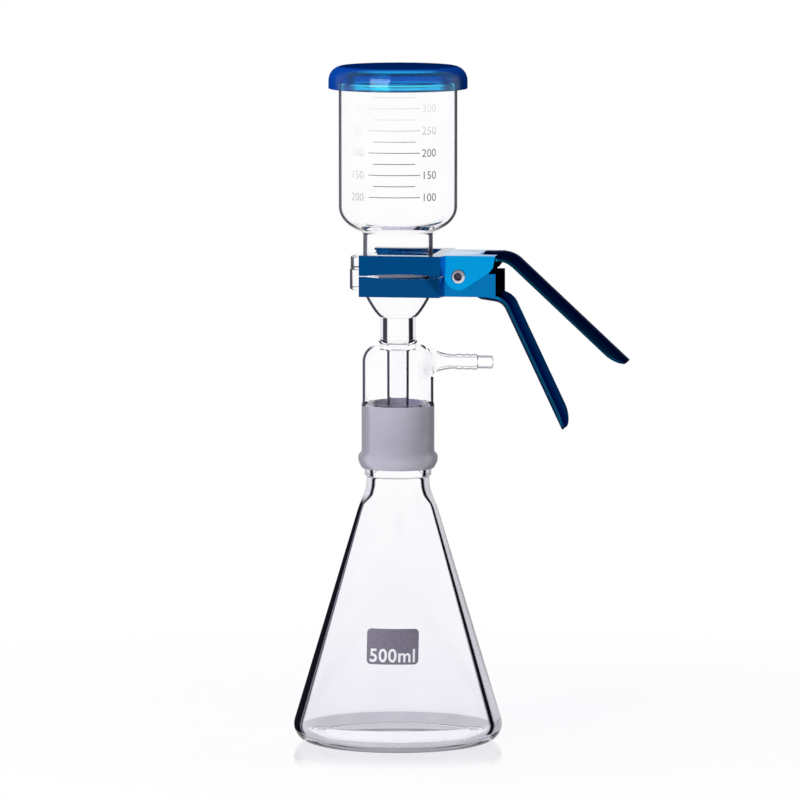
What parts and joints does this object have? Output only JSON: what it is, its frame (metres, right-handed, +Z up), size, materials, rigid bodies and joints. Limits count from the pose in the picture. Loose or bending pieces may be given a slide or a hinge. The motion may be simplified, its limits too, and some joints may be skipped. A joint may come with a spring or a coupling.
{
  "type": "vacuum filtration unit",
  "caption": "Glass vacuum filtration unit: conical flask, ground-joint base with hose connection, graduated funnel with lid, and a sprung aluminium clamp.",
  "frame": {"origin": "on the common axis of the glassware, in the plane of the foot that the flask stands on", "axes": "+Z up along the glassware's axis, +X towards the clamp's handles and the hose connection, printed marks towards -Y"},
  "size_m": [0.2079, 0.129, 0.4186],
  "materials": {
    "flask_glass": "clear borosilicate glass",
    "patch_enamel": "fired enamel",
    "base_glass": "clear glass, ground in the joint",
    "sintered_glass": "white porous glass",
    "funnel_glass": "clear borosilicate glass",
    "scale_enamel": "fired enamel",
    "blue_lid": "translucent moulded plastic",
    "lower_anodised": "blue anodised, satin",
    "upper_anodised": "blue anodised, satin",
    "plated_screw": "bright plated",
    "plated_nut": "bright plated",
    "spring_steel": "spring wire"
  },
  "bodies": {
    "stand": {"flask": "flask_glass", "flask_patch": "patch_enamel", "filter_base": "base_glass", "frit_disc": "sintered_glass", "funnel": "funnel_glass", "funnel_scale": "scale_enamel", "lid": "blue_lid", "lower_jaw": "lower_anodised", "pivot_screw": "plated_screw", "lock_nut": "plated_nut", "torsion_spring": "spring_steel"},
    "upper_clamp": {"upper_jaw": "upper_anodised"}
  },
  "joints": [
    {"name": "clamp_hinge", "type": "hinge", "parent": "stand", "child": "upper_clamp", "pos_m": [0.041, 0, 0.29115], "axis": [0, 1, 0], "range_deg": [0, 12], "stiffness_Nm_per_rad": 0.5, "springref_deg": -57.3, "deforming": ["torsion_spring"]}
  ]
}
